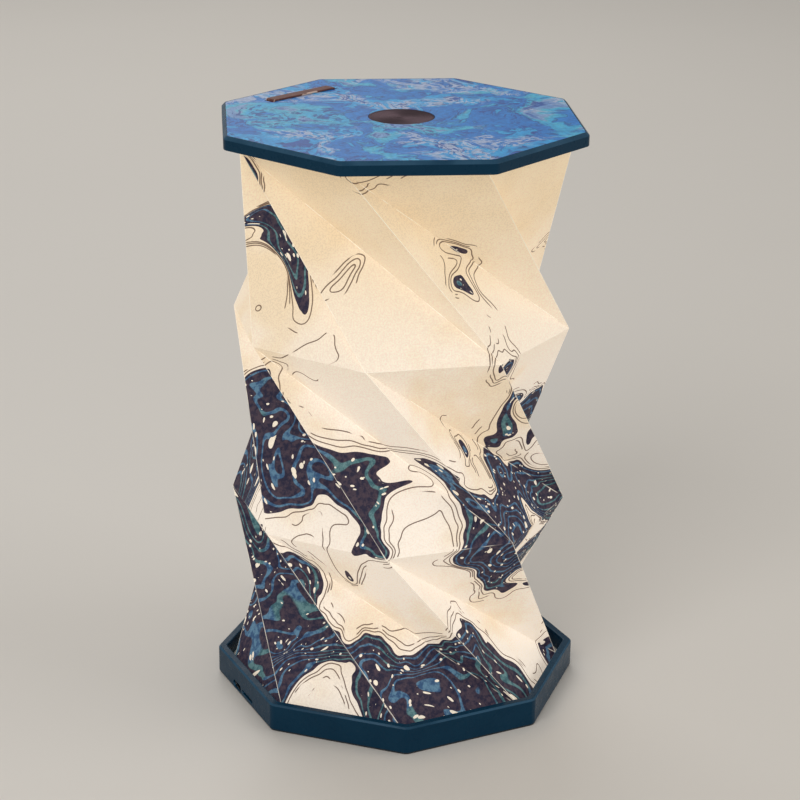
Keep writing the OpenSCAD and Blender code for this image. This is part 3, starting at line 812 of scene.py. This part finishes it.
marbled = {
    "driftScale": 12,
    "drift": 0.08,
    "swirlScale": 38,
    "swirl": 0.028,
    "frayScale": 170,
    "fray": 0.006,
    "poolScale": 20,
    "stops": [                   # ink level and its colour
        (0.30, srgb(16, 62, 136)), (0.385, srgb(24, 84, 160)), (0.39, srgb(12, 48, 106)),
        (0.40, srgb(18, 136, 196)), (0.455, srgb(36, 156, 206)), (0.46, srgb(16, 80, 148)),
        (0.47, srgb(8, 106, 180)), (0.53, srgb(14, 122, 192)), (0.535, srgb(10, 70, 134)),
        (0.545, srgb(42, 154, 200)), (0.60, srgb(78, 170, 192)), (0.605, srgb(130, 154, 190)),
        (0.64, srgb(104, 134, 184)), (0.66, srgb(28, 80, 152)),
    ],
    "crumbScale": 330,
    "crumbStrength": 0.85,
    "deepCrumbs": srgb(26, 62, 136),
    "paleCrumbs": srgb(184, 178, 196),
}


def marbledFinish():
    # satin print on the lid: pools of blue with darker outlines, in no particular picture
    material, tree, shader = newMaterial("marbledPrint", Roughness=0.42, Specular_IOR_Level=0.2)
    place = objectPlace(tree)
    flat = vectorMaths(tree, "MULTIPLY", place, (1, 1, 0))
    drifted = warped(tree, flat, marbled["driftScale"], marbled["drift"], 3.0)
    swirled = warped(tree, drifted, marbled["swirlScale"], marbled["swirl"], 3.0)
    frayed = warped(tree, swirled, marbled["frayScale"], marbled["fray"], 4.0)
    pools = noise(tree, frayed, marbled["poolScale"], 4.0, 0.6)
    shades = addNode(tree, "ShaderNodeValToRGB", {"Fac": pools})
    elements = shades.color_ramp.elements
    while len(elements) < len(marbled["stops"]):
        elements.new(0.5)
    for element, (position, colour) in zip(elements, marbled["stops"]):
        element.position = position
        element.color = colour
    # crumbs of deeper blue and of pale lilac gather in drifts
    crumbs = noise(tree, frayed, marbled["crumbScale"], 3.0, 0.6)
    drifts = noise(tree, swirled, 26, 2.0)
    deep = maths(tree, "MULTIPLY", spread(tree, crumbs, 0.53, 0.56),
                 spread(tree, drifts, 0.47, 0.56, 0, marbled["crumbStrength"]))
    pale = maths(tree, "MULTIPLY", spread(tree, crumbs, 0.52, 0.48),
                 spread(tree, drifts, 0.47, 0.4, 0, marbled["crumbStrength"]))
    deepened = mixColour(tree, deep, shades.outputs["Color"], marbled["deepCrumbs"])
    lit = mixColour(tree, pale, deepened, marbled["paleCrumbs"])
    grain = spread(tree, noise(tree, place, 520, 4.0, 0.75), 0.36, 0.64)
    speckle = mixColour(tree, grain, (0.6, 0.78, 0.9, 1), (0.96, 1.18, 1.22, 1))
    tree.links.new(timesColour(tree, lit, speckle), shader.inputs["Base Color"])
    bumpFrom(tree, shader, noise(tree, place, 1500, 2.0), 0.06, 0.05 * mm)
    return material


def bronzeFinish():
    # dark turned bronze, brushed round its centre
    material, tree, shader = newMaterial(
        "turnedBronze", Metallic=1.0, Anisotropic=0.75, Specular_Tint=centreDisc["glancing"])
    place = objectPlace(tree)
    ground = vectorMaths(tree, "MULTIPLY", place, (1, 1, 0))
    away = addNode(tree, "ShaderNodeVectorMath", {0: ground}, operation="LENGTH").outputs["Value"]
    outward = addNode(tree, "ShaderNodeCombineXYZ", {"X": away}).outputs[0]
    rings = noise(tree, outward, 4200, 3.0, 0.7)
    cloud = noise(tree, place, 140, 3.0)
    tint = mixColour(tree, cloud, centreDisc["dark"], centreDisc["fair"])
    streaks = spread(tree, rings, 0.35, 0.65)
    brushed = mixColour(tree, streaks, tint, centreDisc["brushed"])
    tree.links.new(brushed, shader.inputs["Base Color"])
    tree.links.new(spread(tree, rings, 0.3, 0.7, 0.3, 0.44), shader.inputs["Roughness"])
    tangent = addNode(tree, "ShaderNodeTangent", direction_type="RADIAL", axis="Z")
    tree.links.new(tangent.outputs[0], shader.inputs["Tangent"])
    bumpFrom(tree, shader, rings, 0.25, 0.02 * mm)
    return material


def leatherFinish():
    material, tree, shader = newMaterial("strapLeather", Roughness=0.62, Specular_IOR_Level=0.3)
    place = objectPlace(tree)
    pores = addNode(tree, "ShaderNodeTexVoronoi", {"Vector": place, "Scale": 1400})
    cloud = noise(tree, place, 180, 4.0)
    tint = mixColour(tree, cloud, strap["dark"], strap["fair"])
    scuffs = spread(tree, noise(tree, place, 600, 3.0), 0.58, 0.72, 0, 0.6)
    worn = mixColour(tree, scuffs, tint, strap["worn"])
    placing = strapPlace(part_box("carry_strap")[1].z)
    own = addNode(tree, "ShaderNodeMapping", {
        "Vector": place, "Location": placing.to_translation(), "Rotation": placing.to_euler()},
        vector_type="TEXTURE").outputs[0]
    aside = maths(tree, "ABSOLUTE", addNode(tree, "ShaderNodeSeparateXYZ", {0: own}).outputs["X"])
    # painted highlight with some wear: the long edges are paler, in patches
    half = strap["width"] / 2
    rim = spread(tree, aside, half - strap["paleRim"], half - strap["paleCore"])
    patches = spread(tree, noise(tree, own, 90, 2.0), 0.5, 0.54)
    wearAndHighlight = mixColour(tree, maths(tree, "MULTIPLY", rim, patches), worn, strap["wearAndHighlight"])
    tree.links.new(wearAndHighlight, shader.inputs["Base Color"])
    bumpFrom(tree, shader, pores.outputs["Distance"], 0.4, 0.08 * mm)
    return material


print("modelling the marbled sheet, disc and strap")
marbledSheet = finishPiece(makeTopSheet())
dress(marbledSheet, marbledFinish(), "lid", "marbled_sheet", "top_sheet")
bronzeDisc = finishPiece(makeCentreDisc())
dress(bronzeDisc, bronzeFinish(), "swivel", "bronze_disc", "centre_disc")
leatherStrap = finishPiece(makeStrap())
dress(leatherStrap, leatherFinish(), "strap", "strap_leather", "carry_strap")


shade = {
    "frameLip": 1 * mm,          # how far the card frames stand out past the folds
    "paper": 0.4 * mm,
    "cuts": 9,                   # in each edge of a facet
    "bow": 0.45 * mm,            # how far a facet swells at its middle
    "ripple": 0.5 * mm,
    "rippleLength": 30 * mm,
    "shutGap": 0.05 * mm,        # between the shut paper and the card frame above it
}
shadeLow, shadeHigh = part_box("paper_shade")
shade["ringRadius"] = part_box("lower_paper_frame")[1].x / math.cos(eighth / 2) - shade["frameLip"]
shade["tierHeight"] = (shadeHigh.z - shadeLow.z) / lamp["tiers"]


def flatSheet():
    # side of a fold ring, lean and height of one tier, and so on, on the sheet before it is folded
    radius = shade["ringRadius"]
    turn = math.radians(lamp["tierTurn"])
    side = 2 * radius * math.sin(eighth / 2)
    ridge = math.hypot(2 * radius * math.sin(turn / 2), shade["tierHeight"])
    valley = math.hypot(2 * radius * math.sin((turn + eighth) / 2), shade["tierHeight"])
    lean = (side ** 2 + ridge ** 2 - valley ** 2) / (2 * side)
    return {"side": side, "lean": lean, "tier": math.sqrt(ridge ** 2 - lean ** 2)}


sheet = flatSheet()


def facetMiddle(u, v):
    # 0 on the folds and 1 in the middle of a facet, which is what 27 is for
    a = (u * lamp["sides"]) % 1
    b = (v * lamp["tiers"]) % 1
    if a + b > 1:
        a, b = 1 - a, 1 - b
    return 27 * a * b * (1 - a - b)


def makeShade():
    height = shadeHigh.z - shadeLow.z
    clearSelection()
    bpy.ops.mesh.primitive_cylinder_add(
        vertices=lamp["sides"], radius=shade["ringRadius"], depth=height,
        end_fill_type="NOTHING", calc_uvs=True,
        location=(0, 0, (shadeLow.z + shadeHigh.z) / 2), rotation=(0, 0, eighth / 2))
    piece = namePrimitive("foldedPaper")
    startEdit(piece)
    for ring in range(1, lamp["tiers"]):
        level = shadeLow.z + ring * shade["tierHeight"]
        bpy.ops.mesh.select_all(action="SELECT")
        bpy.ops.mesh.bisect(plane_co=(0, 0, level), plane_no=(0, 0, 1))
    for ring in range(1, lamp["tiers"] + 1):
        level = shadeLow.z + ring * shade["tierHeight"]
        turn = math.radians(ring * lamp["tierTurn"])
        pickVertices(piece, lambda place: near(place.z, level))
        bpy.ops.transform.rotate(value=turn, orient_axis="Z", center_override=(0, 0, 0))
    bpy.ops.mesh.select_all(action="SELECT")
    bpy.ops.mesh.quads_convert_to_tris(quad_method="LONGEST_DIAGONAL")
    bpy.ops.mesh.subdivide(number_cuts=shade["cuts"])
    endEdit()
    middle = piece.vertex_groups.new(name="facetMiddle")
    sheetPlaces = piece.data.uv_layers.active.data
    for loop in piece.data.loops:
        weight = facetMiddle(*sheetPlaces[loop.index].uv)
        middle.add([loop.vertex_index], weight, "REPLACE")
    applyModifier(
        piece, "DISPLACE", strength=shade["bow"], mid_level=0, vertex_group="facetMiddle")
    clouds = bpy.data.textures.new("paperRipple", "CLOUDS")
    clouds.noise_scale = shade["rippleLength"]
    applyModifier(
        piece, "DISPLACE", strength=shade["ripple"], mid_level=0.5, vertex_group="facetMiddle",
        texture=clouds, texture_coords="LOCAL")
    applyModifier(piece, "SOLIDIFY", thickness=shade["paper"], offset=-1, use_even_offset=True)
    return piece


def sheetPlace(tree, aside=0.0, upward=0.0):
    # the unfolded sheet, rolled into a cylinder so that a pattern meets itself at the seam;
    # aside and upward step a little way off the point, in metres
    unfolded = addNode(tree, "ShaderNodeUVMap").outputs[0]
    parts = addNode(tree, "ShaderNodeSeparateXYZ", {0: unfolded})
    u, v = parts.outputs["X"], parts.outputs["Y"]
    width = lamp["sides"] * sheet["side"]
    height = lamp["tiers"] * sheet["tier"]
    lean = maths(tree, "MULTIPLY", v, lamp["tiers"] * sheet["lean"] / width)
    turned = maths(tree, "ADD", maths(tree, "ADD", u, lean), aside / width)
    angle = maths(tree, "MULTIPLY", turned, 2 * math.pi)
    radius = width / (2 * math.pi)
    raised = maths(tree, "ADD", maths(tree, "MULTIPLY", v, height), upward)
    place = addNode(tree, "ShaderNodeCombineXYZ", {
        "X": maths(tree, "MULTIPLY", maths(tree, "COSINE", angle), radius),
        "Y": maths(tree, "MULTIPLY", maths(tree, "SINE", angle), radius),
        "Z": raised})
    return u, v, place.outputs[0]


def inkLevel(tree, place):
    # how much ink lies at a point of the sheet, and the drifted point
    drifted = warped(tree, warped(tree, place, printed["driftScale"], printed["drift"]),
                     printed["swirlScale"], printed["swirl"])
    height = addNode(tree, "ShaderNodeSeparateXYZ", {0: place}).outputs["Z"]
    bare = spread(tree, height, printed["bareFrom"], printed["bareTo"],
                  printed["moreInk"], -printed["lessInk"])
    field = noise(tree, drifted, printed["poolScale"], 2.0, 0.4)
    return maths(tree, "ADD", field, bare), drifted


def foldDistances(tree, u, v):
    # how far a point of the sheet is from the nearest ring, ridge and valley fold
    across = maths(tree, "FRACT", maths(tree, "MULTIPLY", u, lamp["sides"]))
    along = maths(tree, "FRACT", maths(tree, "MULTIPLY", v, lamp["tiers"]))
    ridgeLength = math.hypot(sheet["lean"], sheet["tier"])
    valleyLength = math.hypot(sheet["side"] - sheet["lean"], sheet["tier"])
    area = sheet["side"] * sheet["tier"]
    folds = [
        (along, sheet["tier"]),
        (across, area / ridgeLength),
        (maths(tree, "ADD", across, along), area / valleyLength),
    ]
    distances = []
    for share, pitch in folds:
        fromWhole = maths(tree, "PINGPONG", maths(tree, "FRACT", share), 0.5)
        distances.append(maths(tree, "MULTIPLY", fromWhole, pitch))
    return distances


printed = {
    "driftScale": 9,
    "drift": 0.12,
    "swirlScale": 30,
    "swirl": 0.03,
    "poolScale": 14,
    "bareFrom": 0.10,            # metres up the flat sheet, where the ink starts to thin out
    "bareTo": 0.29,
    "moreInk": 0.06,             # added to the level of the ink below that stretch
    "lessInk": 0.17,             # taken from it above
    "inkFrom": 0.52,             # level above which the sheet is inked
    "bandPitch": 0.034,          # level from one blue band to the next
    "outlines": [0.505, 0.492, 0.474],       # levels of the fine lines beside the ink
    "lineWidth": 0.55 * mm,
    "softEdge": 0.08 * mm,       # on each side of an ink's or a line's edge
    "step": 0.25 * mm,           # sideways and upwards, to measure how fast the level changes
    "leastSlope": 0.4,           # of the level, per metre
    "specks": [(190, 0.06, 0.26), (330, 0.06, 0.27)],    # scale, smallest and largest radius
    "speckMargin": (0.5 * mm, 0.9 * mm),     # inside the ink's edge, from no specks to all
    "foldPaleBand": 0.36 * mm,       # half the width of a pale fold, worn ink with a painted highlight, and of its palest part
    "foldCore": 0.1 * mm,
    "cream": srgb(243, 233, 220),
    "shadedTopCream": srgb(236, 217, 186),        # painted shade: darker, warmer cream at the top of the shade, furthest from the light inside
    "stain": srgb(228, 206, 170),
    "line": srgb(84, 54, 40),
    "navy": (srgb(30, 28, 52), srgb(66, 54, 66)),
    "blue": (srgb(44, 76, 112), srgb(86, 122, 148)),
    "teal": (srgb(50, 88, 98), srgb(92, 128, 132)),
    "speck": srgb(240, 230, 212),
    # worn ink with a painted highlight, on the folds
    "wearAndHighlight": srgb(254, 247, 232),
}


def paperFinish():
    # cream paper with a marbled ink print, lit softly from inside
    material, tree, shader = newMaterial("printedPaper", Roughness=0.85, Emission_Strength=0.5)
    u, v, place = sheetPlace(tree)
    level, drifted = inkLevel(tree, place)
    step = printed["step"]
    slopes = []
    for aside, upward in ((step, 0.0), (0.0, step)):
        beside = inkLevel(tree, sheetPlace(tree, aside, upward)[2])[0]
        slopes.append(maths(tree, "DIVIDE", maths(tree, "SUBTRACT", beside, level), step))
    squares = maths(tree, "ADD", maths(tree, "MULTIPLY", slopes[0], slopes[0]),
                    maths(tree, "MULTIPLY", slopes[1], slopes[1]))
    steepness = maths(tree, "MAXIMUM", maths(tree, "SQRT", squares), printed["leastSlope"])
    soft = printed["softEdge"]

    def beyond(at):
        # signed distance in metres past the line where the ink has this level
        return maths(tree, "DIVIDE", maths(tree, "SUBTRACT", level, at), steepness)

    def fineLine(at):
        half = printed["lineWidth"] / 2
        return spread(tree, maths(tree, "ABSOLUTE", beyond(at)), half + soft, half - soft)

    fibres = noise(tree, place, 1400, 3.0, 0.7)
    mottle = noise(tree, place, 420, 3.0, 0.65)
    stain = noise(tree, place, 22, 3.0)
    # painted shade: the cream darkens towards the top of the shade
    creamTone = mixColour(tree, spread(tree, v, 0.5, 0.98), printed["cream"], printed["shadedTopCream"])
    stained = mixColour(tree, spread(tree, stain, 0.45, 0.68, 0, 0.6), creamTone, printed["stain"])

    # the line next to the ink runs on, the ones beyond it are broken
    dashes = spread(tree, noise(tree, drifted, 85, 1.0), 0.46, 0.5)
    lines = fineLine(printed["outlines"][0])
    for at in printed["outlines"][1:]:
        lines = maths(tree, "MAXIMUM", lines, maths(tree, "MULTIPLY", fineLine(at), dashes))
    drawn = mixColour(tree, maths(tree, "MULTIPLY", lines, 0.88), stained, printed["line"])

    halfPitch = printed["bandPitch"] / 2
    bands = maths(tree, "PINGPONG", maths(tree, "SUBTRACT", level, printed["inkFrom"]), halfPitch)
    share = maths(tree, "DIVIDE", bands, halfPitch)
    blotches = spread(tree, mottle, 0.38, 0.62)
    navyInk = mixColour(tree, spread(tree, mottle, 0.36, 0.64), *printed["navy"])
    blueInk = mixColour(tree, blotches, *printed["blue"])
    tealInk = mixColour(tree, blotches, *printed["teal"])
    regions = spread(tree, noise(tree, place, 34, 1.0), 0.5, 0.56)
    bandInk = mixColour(tree, regions, blueInk, tealInk)
    inkTone = mixColour(tree, spread(tree, share, 0.72, 0.8), navyInk, bandInk)

    stretched = vectorMaths(tree, "MULTIPLY", drifted, (1, 1, 0.72))
    specks = 0.0
    for scale, smallest, largest in printed["specks"]:
        cells = addNode(tree, "ShaderNodeTexVoronoi", {"Vector": stretched, "Scale": scale})
        size = addNode(tree, "ShaderNodeSeparateColor", {0: cells.outputs["Color"]}).outputs[0]
        radius = spread(tree, size, 0.2, 1.0, smallest - 0.1, largest)
        speck = maths(tree, "LESS_THAN", cells.outputs["Distance"], radius)
        specks = maths(tree, "MAXIMUM", specks, speck)
    inside = spread(tree, beyond(printed["inkFrom"]), *printed["speckMargin"])
    inked = mixColour(tree, maths(tree, "MULTIPLY", specks, inside), inkTone, printed["speck"])
    ink = spread(tree, beyond(printed["inkFrom"]), -soft, soft)
    folded = mixColour(tree, ink, drawn, inked)

    # the folds are paler, as worn ink with a painted highlight: the ridges all along, the other
    # folds in patches;
    # how strongly, and the share of it that is left between the patches
    ring, ridge, valley = foldDistances(tree, u, v)
    patches = noise(tree, place, 90, 2.0)
    for away, strength, least in ((ridge, 0.8, 0.55), (valley, 0.7, 0.0), (ring, 0.45, 0.0)):
        wearAndHighlight = spread(tree, away, printed["foldPaleBand"], printed["foldCore"], 0, strength)
        paleFoldShare = maths(tree, "MULTIPLY", wearAndHighlight, spread(tree, patches, 0.42, 0.6, least, 1))
        folded = mixColour(tree, paleFoldShare, folded, printed["wearAndHighlight"])
    grain = spread(tree, fibres, 0.38, 0.62)
    speckle = mixColour(tree, grain, (0.89, 0.9, 0.91, 1), (1.04, 1.035, 1.03, 1))
    grained = timesColour(tree, folded, speckle)
    tree.links.new(timesColour(tree, grained, (0.8, 0.8, 0.8, 1)), shader.inputs["Base Color"])
    glow = spread(tree, v, 0.0, 1.0, 1.0, 0.88)
    glowColour = addNode(tree, "ShaderNodeCombineColor", {
        0: glow, 1: maths(tree, "MULTIPLY", glow, 0.94), 2: maths(tree, "MULTIPLY", glow, 0.88)})
    glowing = timesColour(tree, grained, glowColour.outputs[0])
    tree.links.new(glowing, shader.inputs["Emission Color"])
    bumpFrom(tree, shader, fibres, 0.2, 0.1 * mm)
    return material


print("folding the paper shade")
foldedPaper = finishPiece(makeShade(), smoothAngle=12, weighted=False)
dress(foldedPaper, paperFinish(), "base", "shade_paper", "paper_shade")
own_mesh(foldedPaper)

print("finished")
